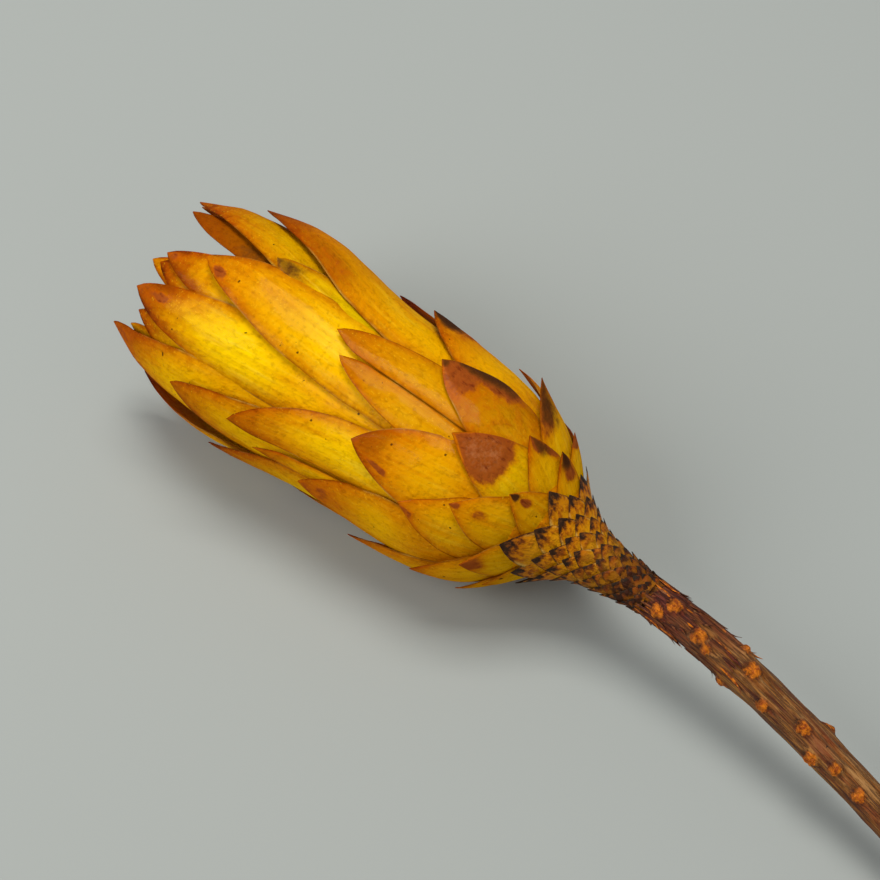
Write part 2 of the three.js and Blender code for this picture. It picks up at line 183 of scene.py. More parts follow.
def on_head(radius, turn, height):
    """A point of the head in metres. Nothing reaches under the floor."""
    out = HEAD_UP * math.cos(turn) + HEAD_SIDE * math.sin(turn)
    point = NECK + HEAD_AXIS * height + out * radius
    point.z = max(point.z, 0.0)
    return point * MM


def linear(hex_code):
    """An sRGB hex colour as the linear values a shader takes."""
    parts = [int(hex_code[k:k + 2], 16) / 255 for k in (1, 3, 5)]
    return [p / 12.92 if p <= 0.04045 else ((p + 0.055) / 1.055) ** 2.4 for p in parts] + [1]


def deselect():
    bpy.ops.object.select_all(action="DESELECT")


def join(parts, name):
    """Joins pieces into one object of that name, at the origin."""
    deselect()
    for part in parts:
        part.select_set(True)
    bpy.context.view_layer.objects.active = parts[0]
    bpy.ops.object.join()
    parts[0].name = name
    parts[0].data.name = name
    return parts[0]


def smooth(piece, degrees):
    deselect()
    piece.select_set(True)
    bpy.context.view_layer.objects.active = piece
    bpy.ops.object.shade_smooth_by_angle(angle=math.radians(degrees))


def paint(mesh, name, values, kind="FLOAT_VECTOR"):
    """Stores one value for each vertex under a name that the materials read."""
    layer = mesh.attributes.new(name, kind, "POINT")
    layer.data.foreach_set("vector" if kind == "FLOAT_VECTOR" else "color",
                           [part for value in values for part in value])


def blade_blank(columns, rows):
    """A flat slab from -1 to 1, modelled once, that every bract and scale is shaped from."""
    deselect()
    bpy.ops.mesh.primitive_grid_add(x_subdivisions=columns, y_subdivisions=rows, size=2)
    slab = bpy.context.object
    wall = slab.modifiers.new("wall", "SOLIDIFY")
    wall.thickness = 1
    wall.offset = -1
    bpy.ops.object.modifier_apply(modifier=wall.name)
    return slab


def tube_blank(sides, steps):
    """A closed tube of radius 1 from z 0 to 1, extruded ring by ring, its top face selected."""
    deselect()
    bpy.ops.mesh.primitive_circle_add(vertices=sides, radius=1, fill_type="NGON")
    tube = bpy.context.object
    bpy.ops.object.mode_set(mode="EDIT")
    bpy.ops.mesh.select_mode(type="FACE")
    bpy.ops.mesh.select_all(action="SELECT")
    for _ in range(steps):
        bpy.ops.mesh.extrude_region_move(TRANSFORM_OT_translate={"value": (0, 0, 1 / steps)})
    bpy.ops.object.mode_set(mode="OBJECT")
    return tube


def copy_of(blank, name):
    copy = bpy.data.objects.new(name, blank.data.copy())
    bpy.context.scene.collection.objects.link(copy)
    return copy


# ------------------------------------------------------------------ materials


def new_material(name):
    material = bpy.data.materials.new(name)
    material.use_nodes = True
    tree = material.node_tree
    return material, tree, tree.nodes["Principled BSDF"]


def feed(tree, node, inputs):
    """Gives a node its inputs: plain values or other nodes' sockets."""
    for key, value in inputs.items():
        if isinstance(value, bpy.types.NodeSocket):
            tree.links.new(value, node.inputs[key])
        else:
            node.inputs[key].default_value = value


def add(tree, kind, inputs=None, **settings):
    """Adds one node with its settings and inputs."""
    node = tree.nodes.new(kind)
    for key, value in settings.items():
        setattr(node, key, value)
    feed(tree, node, inputs or {})
    return node


def painted(tree, name):
    """The four parts of what was painted on a piece under a name."""
    stored = add(tree, "ShaderNodeAttribute", attribute_name=name).outputs
    return *add(tree, "ShaderNodeSeparateXYZ", {0: stored["Vector"]}).outputs, stored["Alpha"]


def pattern(tree, where, size, low, high, detail=3.0, stretch=(1, 1, 1), rough=0.55):
    """Soft patches of a noise about size millimetres wide, from 0 at low to 1 at high."""
    scaled = add(tree, "ShaderNodeMapping", {"Vector": where, "Scale": stretch})
    cloud = add(tree, "ShaderNodeTexNoise", {
        "Vector": scaled.outputs[0], "Scale": 1 / size, "Detail": detail, "Roughness": rough})
    return rise(tree, cloud.outputs["Fac"], low, high)


def times(tree, *factors):
    """The product of several sockets or numbers."""
    result = factors[0]
    for factor in factors[1:]:
        result = add(tree, "ShaderNodeMath", {0: result, 1: factor},
                     operation="MULTIPLY").outputs[0]
    return result


def plus(tree, *terms):
    """The sum of several sockets or numbers."""
    result = terms[0]
    for term in terms[1:]:
        result = add(tree, "ShaderNodeMath", {0: result, 1: term}).outputs[0]
    return result


def rise(tree, value, low, high):
    """Rises softly from 0 where a value is low to 1 where it is high."""
    return add(tree, "ShaderNodeMapRange", {0: value, 1: low, 2: high},
               interpolation_type="SMOOTHSTEP").outputs[0]


def layered(tree, ground, layers):
    """Lays colours over a ground colour, each where its mask says."""
    tint = ground
    for mask, hex_code in layers:
        tint = add(tree, "ShaderNodeMix", {0: mask, 6: tint, 7: linear(hex_code)},
                   data_type="RGBA").outputs[2]
    return tint


def along_blade(tree):
    """Millimetres across and along a blade or the stem, which the patterns follow."""
    return add(tree, "ShaderNodeAttribute", attribute_name="grain").outputs["Vector"]


def waxy_bract():
    """Dried, dyed bract: a hard waxy skin over fine lengthwise fibres, which shine softly."""
    material, tree, skin = new_material("waxy_dried_bract")
    grain = along_blade(tree)
    edge, along, own, _ = painted(tree, "share")    # 0 to 1 to the edge, root to tip, by bract
    rust, green, pale, burnt = painted(tree, "tints")
    soot_and_shade, _, brown, _ = painted(tree, "marks")

    cloud = pattern(tree, grain, 6.0, 0.35, 0.68, 3.0, (1, 0.6, 1))
    blush = pattern(tree, grain, 4.5, 0.45, 0.7, 4.0, (1, 0.5, 1))
    fibres = pattern(tree, grain, 0.5, 0.4, 0.72, 3.0, (1, 0.04, 1))
    veins = pattern(tree, grain, 1.2, 0.5, 0.64, 2.0, (1, 0.03, 1))
    mottle = pattern(tree, grain, 1.7, 0.38, 0.7, 5.0)
    fine = pattern(tree, grain, 0.45, 0.4, 0.7, 3.0)
    speckle = pattern(tree, grain, 0.7, 0.5, 0.72, 6.0, (1, 0.7, 1), 0.7)
    edge_soft = rise(tree, edge, 0.4, 1.05)
    edge_line = rise(tree, edge, 0.9, 1.0)
    tip_mask = plus(tree, along, times(tree, cloud, 0.05), times(tree, mottle, 0.06),
                    times(tree, edge_soft, 0.09))
    ground = add(tree, "ShaderNodeMix", {0: cloud, 6: linear("#EC9800"), 7: linear("#FDB400")},
                 data_type="RGBA").outputs[2]
    layers = [
        # the bract's own tone, its blush, where it is greenish or pale, and thin lengthwise
        # streaks of painted highlight over the pale part
        (times(tree, rise(tree, own, 0.2, 1.0), 0.9), "#CE7C00"),
        (times(tree, blush, 0.28), "#CC6A00"),
        (times(tree, green, pattern(tree, grain, 4.0, 0.2, 0.55, 3.0, (1, 0.3, 1))), "#B5A300"),
        (times(tree, pale, pattern(tree, grain, 2.6, 0.2, 0.5, 3.0, (1, 0.25, 1))), "#FFD200"),
        # painted highlight: thin pale lengthwise streaks over the pale part
        (times(tree, pale, pattern(tree, grain, 1.0, 0.52, 0.68, 3.0, (1, 0.08, 1)), 0.4),
         "#FBDC3C"),
        # darker edges and tip, with veins, fibres, a thin dark rim, and a thin painted highlight
        # along the rim in places
        (times(tree, edge_soft, 0.5), "#C66600"),
        (times(tree, rise(tree, tip_mask, 0.6, 1.08), plus(tree, times(tree, burnt, 0.5), 0.42)),
         "#B85200"),
        (times(tree, veins, 0.13), "#AC4C00"),
        (times(tree, fibres, 0.09), "#FFCC20"),
        (times(tree, mottle, rise(tree, edge, 0.6, 1.0), 0.35), "#9C4000"),
        (times(tree, edge_line, 0.6), "#762C00"),
        # painted highlight: a thin cream line along the very edge, in patches
        (times(tree, rise(tree, edge, 0.93, 1.0), pattern(tree, grain, 7.0, 0.45, 0.7), 0.45),
         "#E8C050"),
        # the burnt tip, then specks and dots
        (times(tree, rise(tree, tip_mask, 0.8, 1.06), burnt, 0.8), "#983A02"),
        (times(tree, rise(tree, tip_mask, 0.96, 1.13), burnt), "#561C04"),
        (times(tree, speckle, 0.22), "#A65400"),
        (times(tree, pattern(tree, grain, 0.4, 0.6, 0.75, 2.0), 0.3), "#FFD028"),
        (pattern(tree, grain, 2.4, 0.73, 0.79, 4.0), "#7E3A06"),
        (times(tree, pattern(tree, grain, 1.2, 0.765, 0.8, 1.0), 0.85), "#3A1A08"),
    ]
    tint = layered(tree, ground, layers)
    ragged = plus(tree, rust, times(tree, mottle, 0.2), times(tree, fine, 0.05))
    rusty = rise(tree, ragged, 0.46, 0.74)
    sooty_and_shaded = rise(tree, plus(tree, soot_and_shade, times(tree, mottle, 0.3)), 0.35, 1.15)
    cracks = pattern(tree, grain, 0.9, 0.55, 0.68, 4.0, (1, 0.4, 1))
    # stains: a brown wash, cracked rust with its paler middle, and soot; on a few bracts the
    # brown wash and the soot are painted shade
    tint = layered(tree, tint, [
        (brown, "#8A4002"),
        (times(tree, rise(tree, ragged, 0.2, 0.62), 0.6), "#C05C04"),
        (times(tree, rusty, 0.95), "#9A4A18"),
        (times(tree, rise(tree, rust, 0.9, 1.2), pattern(tree, grain, 3.0, 0.45, 0.68, 5.0),
               0.75), "#BA7040"),
        (times(tree, rusty, mottle, 0.4), "#86380E"),
        (times(tree, rusty, cracks, 0.7), "#6A240C"),
        (times(tree, rise(tree, rust, 0.9, 1.2), fine, 0.12), "#D09060"),
        (times(tree, sooty_and_shaded, 0.92), "#643810"),
        (times(tree, sooty_and_shaded, rise(tree, soot_and_shade, 0.7, 1.2), 0.8), "#3A2012"),
        (times(tree, sooty_and_shaded, fine, 0.3), "#2E1A10"),
    ])
    dull = add(tree, "ShaderNodeMapRange", {
        0: plus(tree, rusty, sooty_and_shaded, times(tree, mottle, 0.35)), 3: 0.24, 4: 0.75})
    relief = plus(tree, times(tree, veins, 0.35), times(tree, fibres, 0.3), mottle, speckle)
    bump = add(tree, "ShaderNodeBump", {
        "Height": relief, "Distance": 0.09 * MM, "Strength": 0.9})
    feed(tree, skin, {
        "Base Color": tint, "Roughness": dull.outputs[0], "Normal": bump.outputs[0],
        "IOR": 1.4, "Specular IOR Level": 0.0, "Coat Weight": 0.045, "Coat Roughness": 0.13,
        "Subsurface Weight": 0.05, "Subsurface Radius": (1.0, 0.4, 0.05),
        "Subsurface Scale": 0.9 * MM})
    return material


def dry_scale():
    """Small woody scales of the neck: matt ochre with weathered, nearly black tips."""
    material, tree, skin = new_material("dry_neck_scale")
    grain = along_blade(tree)
    edge, along, dark, _ = painted(tree, "share")   # to the edge, root to tip, to the stem
    own = painted(tree, "marks")[1]
    mottle = pattern(tree, grain, 0.9, 0.35, 0.7, 4.0)
    fibres = pattern(tree, grain, 0.35, 0.42, 0.7, 3.0, (1, 0.15, 1))
    tip = rise(tree, plus(tree, along, times(tree, mottle, 0.14)), 0.79, 0.97)
    rim = rise(tree, plus(tree, edge, times(tree, mottle, 0.12)), 0.88, 1.03)
    red = rise(tree, plus(tree, along, times(tree, mottle, 0.3)), 0.7, 1.03)
    ground = add(tree, "ShaderNodeMix", {0: own, 6: linear("#E69A00"), 7: linear("#CE7600")},
                 data_type="RGBA").outputs[2]
    # painted highlight where it comes out from under the others and along its edges there; darker
    # to the stem, the rim and the tip
    tint = layered(tree, ground, [
        (times(tree, rise(tree, along, 0.8, 0.5), 0.7), "#DE9C04"),
        (times(tree, fibres, 0.25), "#C88404"),
        (times(tree, mottle, 0.3), "#AA5E08"),
        # painted highlight: a cream line along the edges near the root
        (times(tree, rise(tree, edge, 0.7, 0.92), rise(tree, along, 0.86, 0.62), 0.6), "#E2C468"),
        (times(tree, dark, 0.85), "#642C04"),
        (times(tree, red, 0.75), "#943C02"),
        (times(tree, dark, pattern(tree, grain, 1.8, 0.4, 0.56, 4.0), 0.9), "#24100A"),
        (times(tree, rim, 0.75), "#4A2006"),
        (times(tree, tip, 0.93), "#33261A"),
        (times(tree, tip, mottle, 0.6), "#160C08"),
    ])
    relief = plus(tree, mottle, times(tree, fibres, 0.6))
    bump = add(tree, "ShaderNodeBump", {"Height": relief, "Distance": 0.12 * MM})
    feed(tree, skin, {"Base Color": tint, "Normal": bump.outputs[0], "Roughness": 0.55,
                      "Specular IOR Level": 0.1})
    return material


def furrowed_bark():
    """Dry bark of a thin stem: reddish brown, drawn out in tan streaks, with orange scars."""
    material, tree, skin = new_material("furrowed_stem_bark")
    grain = along_blade(tree)
    scar, upper, wood, pit = painted(tree, "tints")     # upper: near the neck, wood: cut end
    streaks = pattern(tree, grain, 0.7, 0.38, 0.66, 4.0, (1, 1, 0.09))
    thin = pattern(tree, grain, 0.28, 0.45, 0.62, 3.0, (1, 1, 0.06))
    cloud = pattern(tree, grain, 6.0, 0.4, 0.62, 3.0, (1, 1, 0.35))
    mottle = pattern(tree, grain, 0.8, 0.4, 0.7, 5.0)
    ground = add(tree, "ShaderNodeMix", {0: streaks, 6: linear("#5C280C"), 7: linear("#A06A2A")},
                 data_type="RGBA").outputs[2]
    # weathered patches, dark furrows, redder bark near the neck, specks, scars and the cut end
    tint = layered(tree, ground, [
        (times(tree, cloud, 0.65), "#925608"),
        (times(tree, pattern(tree, grain, 5.0, 0.45, 0.6, 3.0, (1, 1, 0.3)), streaks, 0.45),
         "#B08858"),
        (times(tree, pattern(tree, grain, 3.4, 0.5, 0.66, 4.0, (1, 1, 0.25)), 0.55), "#7A2E10"),
        (times(tree, thin, 0.6), "#32160A"),
        (times(tree, upper, 0.75), "#5E1C0E"),
        (times(tree, upper, thin, 0.8), "#240E08"),
        (times(tree, pattern(tree, grain, 1.4, 0.66, 0.74, 4.0), 0.45), "#A87A44"),
        (pattern(tree, grain, 1.0, 0.7, 0.74, 2.0), "#241510"),
        (times(tree, rise(tree, plus(tree, scar, times(tree, mottle, 0.3)), 0.45, 0.8), 0.95),
         "#D67400"),
        (times(tree, scar, pattern(tree, grain, 0.7, 0.45, 0.6, 4.0), 0.85), "#8A3200"),
        (pit, "#1E0E0A"),
        (wood, "#C9A878"),
        (times(tree, wood, mottle, 0.5), "#8E6A42"),
    ])
    relief = plus(tree, streaks, times(tree, thin, -1))
    bump = add(tree, "ShaderNodeBump", {"Height": relief, "Distance": 0.16 * MM})
    feed(tree, skin, {"Base Color": tint, "Normal": bump.outputs[0], "Roughness": 0.6,
                      "Specular IOR Level": 0.25})
    return material


def silky_floret():
    """Dry florets covered in short silky hairs: pale cream, browner at their tips."""
    material, tree, skin = new_material("silky_dry_floret")
    _, along, own, _ = painted(tree, "share")
    tint = layered(tree, linear("#E2D2A8"), [
        (times(tree, own, 0.6), "#C7A266"),
        (rise(tree, along, 0.9, 1.0), "#7A4A20"),
    ])
    feed(tree, skin, {"Base Color": tint, "Roughness": 0.7, "Sheen Weight": 0.4})
    return material


def matt_floor():
    """The matt painted board that the flower lies on."""
    material, tree, skin = new_material("matt_pale_board")
    feed(tree, skin, {"Base Color": linear("#A1A5A1"), "Roughness": 0.9})
    return material


# ------------------------------------------------------------------ bracts

BRACT_COLUMNS = 16                     # how finely a bract is cut up across
BROAD_ROWS, LONG_ROWS = 26, 46         # and along
BLUNT_TIP = 0.12                       # half width of a bract's very tip
CENTRE_WALL, EDGE_WALL = 0.62, 0.2     # thickness along the middle and at the edges
ROOT_WIDTH = 0.9                       # width at the root, for a widest part of 1
EDGE_WANDER = 0.07                     # how unevenly the two edges run
MOST_CURL = 0.9                        # how far one edge of the loose part rolls in or out
LEAST_CROWN, MORE_CROWN = 0.1, 0.25    # how far the middle stands over the edges
EDGE_PRESS = 0.42                      # how far the edges are pressed to the head
TIP_SWAY = 0.9                         # how far a tip leans to one side
COVER_STEP = 8                         # a bract comes out from under the one this far before
COVER_LAP = 1                          # and this far under that one's tip

# How single bracts differ to the eye. Rust, soot and brown are stains, each as (share along,
# share across, its reach along, its reach across, strength); the soot on bract -3 and the dark
# face of bract 39 are painted shade. Green, pale and burnt are amounts, and own is how dark the
# whole bract is.
LOOKS = {
    -16: {"rust": [(0.7, 0.2, 0.2, 0.6, 0.7)], "soot_and_shade": [(0.88, 0.2, 0.2, 0.8, 1.2)]},
    -14: {"soot_and_shade": [(0.88, 0.2, 0.2, 0.8, 1.2)]},
    -13: {"rust": [(0.68, 0.15, 0.12, 0.3, 0.88)], "soot_and_shade": [(0.9, 0.15, 0.1, 0.6, 1.4)]},
    -11: {"rust": [(0.85, -0.4, 0.14, 0.8, 1.0)]},
    -10: {"rust": [(0.9, 0, 0.3, 1.0, 0.7)]},
    -8: {"rust": [(0.86, 0.3, 0.16, 0.7, 0.9), (0.66, 0.85, 0.14, 0.4, 0.8)],
         "soot_and_shade": [(0.82, 0.5, 0.22, 0.6, 0.9)]},
    -5: {"own": 0.8, "rust": [(0.95, 0.2, 0.1, 0.6, 0.9), (0.6, 0.1, 0.12, 0.25, 0.5)]},
    # painted shade: the soot over this bract's upper part is shadow
    -3: {"rust": [(0.7, -0.5, 0.3, 0.6, 0.7)], "soot_and_shade": [(0.8, -0.2, 0.34, 1.0, 0.9)]},
    0: {"own": 0.5, "green": 0.45, "rust": [(0.68, 0.08, 0.3, 1.05, 1.3)]},
    3: {"own": 0.9, "rust": [(0.9, -0.5, 0.12, 0.5, 0.55)]},
    5: {"own": 1, "pale": 0.3, "brown": [(0.62, 0.35, 0.42, 1.5, 0.42)],
        "rust": [(0.84, 0.1, 0.2, 1.3, 0.72), (0.62, 0.75, 0.26, 0.6, 0.75),
                 (0.5, 0.3, 0.55, 1.6, 0.3)],
        "soot_and_shade": [(0.7, 0.9, 0.28, 0.55, 1.05), (0.98, 0, 0.05, 1.2, 0.9)]},
    8: {"own": 0.9, "pale": 0.3, "brown": [(0.92, 0.4, 0.14, 0.9, 0.5)],
        "rust": [(0.99, 0, 0.05, 0.8, 0.6), (0.78, -0.58, 0.1, 0.13, 0.85)]},
    10: {"rust": [(0.86, 0.6, 0.2, 0.9, 0.55)], "soot_and_shade": [(0.95, 0.4, 0.16, 1.0, 1.3)]},
    11: {"rust": [(0.9, 0, 0.2, 0.8, 0.45)]},
    13: {"own": 0.95, "burnt": 0.25, "pale": 0.15},
    18: {"burnt": 1, "rust": [(0.7, -0.6, 0.09, 0.35, 0.36)],
         "brown": [(0.72, -0.6, 0.11, 0.45, 0.5), (0.93, -0.6, 0.1, 0.8, 0.4)]},
    21: {"own": 0.2, "green": 0.1, "pale": 0.6, "rust": [(0.93, -0.5, 0.035, 0.4, 0.8)]},
    24: {"burnt": 0.6},
    26: {"green": 0.95, "pale": 1.0, "soot_and_shade": [(0.96, -0.1, 0.1, 1.0, 0.85)]},
    29: {"own": 0.1, "burnt": 1, "pale": 1, "brown": [(0.94, 0.9, 0.09, 0.7, 0.6)],
         "rust": [(0.97, 0.2, 0.07, 1.2, 0.4), (0.89, 0.3, 0.03, 0.3, 0.85)]},
    31: {"own": 0.9, "burnt": 0.8, "green": 0.5, "pale": 0.2},
    32: {"burnt": 1, "rust": [(0.95, 0, 0.09, 1.2, 0.45)], "brown": [(0.95, 0.6, 0.1, 0.9, 0.45)]},
    34: {"burnt": 1, "rust": [(0.97, 0, 0.05, 0.8, 0.5)], "brown": [(0.92, -0.9, 0.12, 0.6, 0.5)]},
    37: {"burnt": 0.9},
    # painted shade: this bract's face lies in shadow, so it is darkened all over, with its brown
    # wash and soot
    39: {"own": 1, "burnt": 1, "green": 0.3, "brown": [(0.72, -0.3, 0.34, 1.8, 0.9)],
         "soot_and_shade": [(0.6, -0.3, 0.14, 1.5, 0.6)]},
    42: {"burnt": 1},
}


def bract_form(number):
    """Where one bract of the spiral stands, and its size."""
    spiral_turn = SPIRAL_START - SPIRAL_STEP * number
    spiral_tip = tip_height(number)
    usual = (spiral_tip + (chance(number, 1) - 0.5) * HEIGHT_WOBBLE * spiral_tip,
             spiral_turn + (chance(number, 2) - 0.5) * TURN_WOBBLE, spiral_turn)
    tip, tip_turn, body_turn = SHIFTED_BRACTS.get(number, usual)
    lift = LOOSE_TIPS.get(number, LEAST_LIFT + MORE_LIFT * chance(number, 3) ** 2)
    return {
        "number": number,
        "tip": tip,
        "tip_turn": math.radians(FACE_TURN + tip_turn),
        "body_turn": math.radians(FACE_TURN + body_turn),
        "layer": layer_at(spiral_tip),
        "width": width_at(spiral_tip) * WIDER_BRACTS.get(number, 1),
        "lift": lift if number >= FIRST_BRACT else 0,
    }


# Bracts that a lengthwise crack has split in two. For each lobe: its tip height, and how many
# millimetres from the bract's middle line its tip, its whole edge and its cracked edge are.
SPLIT_BRACTS = {
    13: [(62.9, 1.4, 7.4, -0.36), (59.7, -2.0, -6.8, -0.5)],
    16: [(71.6, -1.8, 7, -3.3), (66.2, -4.7, -7.2, -3.45)],
}
CRACK_END = 0.86                       # share of a lobe where its cracked edge turns to its tip


def lobes(number):
    """The forms of one bract: two where it is split, and else just one."""
    whole = bract_form(number)
    parts = SPLIT_BRACTS.get(number, [])
    return [dict(whole, tip=part[0], lobe=part[1:]) for part in parts] or [whole]


def outline_share(s, form):
    """Half the width at share s of the way from root to tip, for a width of 1."""
    widest = form["widest"]
    if s < widest:
        return 0.5 * (ROOT_WIDTH + (1 - ROOT_WIDTH) * math.sin(s / widest * math.pi / 2))
    return 0.5 * (1 - ((s - widest) / (1 - widest)) ** form["fullness"]) ** form["roundness"]


def edges_of_lobe(form, s):
    """Where the two edges of a split bract's lobe lie, in millimetres from its middle line."""
    tip, whole_edge, crack = form["lobe"]
    turned = max(s - CRACK_END, 0) / (1 - CRACK_END)
    opening = math.copysign(0.1 * s ** 3, whole_edge)
    inner = tip + (crack + opening - tip) * (1 - turned ** 1.5)
    outer = tip + (whole_edge - tip) * 2 * outline_share(s, form)
    return inner, outer


def point_outline(form):
    """Sets how far under the tip a blade is widest, and how full its two edges are."""
    point = form["width"] * point_length(form["tip"])
    form["widest"] = max(1 - point / (form["tip"] - form["root"]), 0.12)
    form["fullness"] = edge_fullness(form["tip"])
    form["roundness"] = tip_roundness(form["tip"])


def root_height(form):
    """The height where a blade has sunk a little way into the core."""
    def sunk(height):
        return form["layer"] - layer_at(height) >= core_depth(height) + ROOT_SINK

    height = HIGHEST_ROOT
    while height > LOWEST_ROOT and not sunk(height):
        height -= ROOT_STEP
    return height


def blade_place(form, u, s, skin):
    """A point of a bract: u is -1 to 1 across, s root to tip, skin 0 outside to 1 inside."""
    number, length = form["number"], form["tip"] - form["root"]
    height = form["root"] + length * s
    depth = max(form["layer"] - layer_at(height), 0) * form.get("steep", 1)
    share = outline_share(s, form)
    uneven = EDGE_WANDER * wander(number * 3.1, s * 5, math.copysign(9, u))
    aside = u * max(form["width"] * share * (1 + uneven), BLUNT_TIP)
    if "lobe" in form:
        inner, outer = edges_of_lobe(form, s)
        aside = inner + (outer - inner) * (u + 1) / 2 if outer > inner else (
            outer + (inner - outer) * (u + 1) / 2)
        share *= abs(outer - inner) / form["width"]
    across = 2 * aside / form["width"]
    loose = max(s - 0.35, 0)
    radius = head_radius(height) - depth + form["lift"] * s ** 4
    # long and short waves of the skin, its crowned middle, the curl, and the pressed edges
    radius += 0.45 * wander(number * 7.3, s * length / 11, across * 0.9) * (0.3 + loose)
    radius += 0.1 * wander(number * 1.7, s * length / 3, across * 2.2)
    radius += form["crown"] * (0.5 - across * across)
    radius += form["curl"] * loose * across * abs(across) * math.copysign(1, form["hand"])
    radius -= form["press"] * abs(u) ** 3 * (0.3 + 1.4 * share)
    turn = form["body_turn"] + (form["tip_turn"] - form["body_turn"]) * s * s
    sway = form["hand"] * form["sway"] * s ** 5
    wall = (CENTRE_WALL + (EDGE_WALL - CENTRE_WALL) * u * u) * (1 - 0.3 * s - 0.5 * s ** 6)
    angle = turn + (aside + sway) / max(radius, 3)
    return on_head(radius - wall * skin, angle, height), (aside, s * length)


def shape_blade(piece, form, tints, darkness=None):
    """Moves a blank's vertices to where the bract grows, and paints what its finish reads."""
    places, grain, share, colours, marks = [], [], [], [], []
    number = form["number"]
    least = 0 if number >= FIRST_SLIM_BRACT else 0.55
    own = LOOKS.get(number, {}).get("own", least + (1 - least) * chance(number, 7))
    for vertex in piece.data.vertices:
        u, s, skin = vertex.co.x, (vertex.co.y + 1) / 2, -vertex.co.z
        point, (across, along) = blade_place(form, u, s, skin)
        places.extend(point)
        grain.append((across, along, number * 17.0 + skin * 5))
        share.append((abs(u), s, own if darkness is None else darkness))
        tint, soot_and_shade, brown = tints(u, s, skin)
        colours.append(tint)
        marks.append((soot_and_shade, own, brown))
    piece.data.vertices.foreach_set("co", places)
    paint(piece.data, "grain", grain)
    paint(piece.data, "share", share)
    paint(piece.data, "marks", marks)
    paint(piece.data, "tints", colours, "FLOAT_COLOR")
    piece.data.update()


def stain_at(stains, u, s):
    """The strength of a bract's stains at one place, soft-edged ovals at most 1.3."""
    strength = 0.0
    for middle, side, reach, spread, strongest in stains:
        away = ((s - middle) / reach) ** 2 + ((u - side) / spread) ** 2
        strength = max(strength, strongest * math.exp(-away * away))
    return strength


def bract_tints(form):
    """The stain, green, pale and burnt amounts over one bract."""
    number = form["number"]
    look = LOOKS.get(number, {})
    burnt = look.get("burnt", 0.2 + 0.8 * chance(number, 8))
    slim = number >= FIRST_SLIM_BRACT
    green = look.get("green", 0.4 * max(chance(number, 9) - 0.45, 0) * slim)
    least, more, reach = (0.25, 0.6, 13) if slim else (0.1, 0.35, 5)
    pale = look.get("pale", least + more * chance(number, 10))
    # Each bract is palest where it comes out from under another one.
    length = form["tip"] - form["root"]
    emerging = (tip_height(number - COVER_STEP) - COVER_LAP - form["root"]) / length

    def tints(u, s, skin):
        near = math.exp(-((s - emerging) * length / reach) ** 2) * (1 - 0.5 * abs(u))
        tint = (stain_at(look.get("rust", []), u, s), green * (1 - s * 0.4) + 0.35 * skin,
                pale * near, burnt)
        return tint, stain_at(look.get("soot_and_shade", []), u, s), stain_at(look.get("brown", []), u, s)

    return tints


def bracts(material):
    """The golden bracts, in three pieces from the neck to the tips, on their woody cup."""
    broad, long = blade_blank(BRACT_COLUMNS, BROAD_ROWS), blade_blank(BRACT_COLUMNS, LONG_ROWS)
    groups = {"bracts_lower": [], "bracts_middle": [], "bracts_upper": []}
    grown = [form for number in range(FIRST_BRACT, LAST_BRACT + 1) for form in lobes(number)]
    for form in grown:
        number = form["number"]
        form["root"] = root_height(form)
        point_outline(form)
        form["hand"] = 2 * chance(number, 4) - 1
        form["curl"] = MOST_CURL * chance(number, 5)
        form["crown"] = LEAST_CROWN + MORE_CROWN * chance(number, 16)
        form["press"] = EDGE_PRESS
        form["sway"] = 0 if number in SHIFTED_BRACTS else TIP_SWAY
        form["lift"] *= (1 if number in LOOSE_TIPS else 0.15 if number < 0
                         else 0.4 if number < FIRST_SLIM_BRACT else 0.8)
        piece = copy_of(broad if number < FIRST_MIDDLE_BRACT else long, "bract")
        shape_blade(piece, form, bract_tints(form))
        name = ("bracts_lower" if number < FIRST_MIDDLE_BRACT
                else "bracts_middle" if number < FIRST_UPPER_BRACT else "bracts_upper")
        groups[name].append(piece)
    for blank in (broad, long):
        bpy.data.objects.remove(blank)
    for name, parts in groups.items():
        finish_piece(join(parts, name), material, "bracts", 50)


def turned_piece(name, outline, sides):
    """A closed solid turned about the head's axis, extruded ring by ring up its outline."""
    deselect()
    radius, height = outline[0]
    bpy.ops.mesh.primitive_circle_add(vertices=sides, radius=radius * MM, fill_type="NGON",
                                      location=(0, 0, height * MM))
    piece = bpy.context.object
    piece.name = name
    bpy.ops.object.transform_apply(location=True, rotation=True, scale=True)
    bpy.ops.object.mode_set(mode="EDIT")
    bpy.ops.mesh.select_all(action="SELECT")
    for next_radius, next_height in outline[1:]:
        climb, grow = (next_height - height) * MM, next_radius / radius
        bpy.ops.mesh.extrude_region_move(TRANSFORM_OT_translate={"value": (0, 0, climb)})
        bpy.ops.transform.resize(value=(grow, grow, 1),
                                 center_override=(0, 0, next_height * MM))
        radius, height = next_radius, next_height
    bpy.ops.mesh.select_all(action="SELECT")
    bpy.ops.mesh.normals_make_consistent(inside=False)
    bpy.ops.object.mode_set(mode="OBJECT")
    across = HEAD_UP.cross(HEAD_SIDE)
    turn = Matrix((HEAD_UP, HEAD_SIDE, across)).transposed().to_4x4()
    piece.data.transform(Matrix.Translation(NECK * MM) @ turn)
    return piece


def finish_piece(piece, material, node, degrees):
    """Gives a piece its finish and its body, and hides the imported part of the node that it
    stands for.
    """
    piece.data.materials.clear()
    piece.data.materials.append(material)
    smooth(piece, degrees)
    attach(piece, "root")
    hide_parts(node)


# ------------------------------------------------------------------ neck

SCALE_COLUMNS, SCALE_ROWS = 8, 10
SCALE_LENGTH, SCALE_SHAPE = 3.4, 1.1   # least length, and length for a width of 1
SCALE_CROWN, SCALE_PRESS = 0.16, 0.15
SCALE_STEEPNESS = 0.5                  # scales stack up half as deep as the bracts
TOP_ROWS = 18                          # scales with tips above this are pressed to the bracts
DARK_START, DARK_SPAN = 16.5, 10       # the scales get darker from this height down to the stem


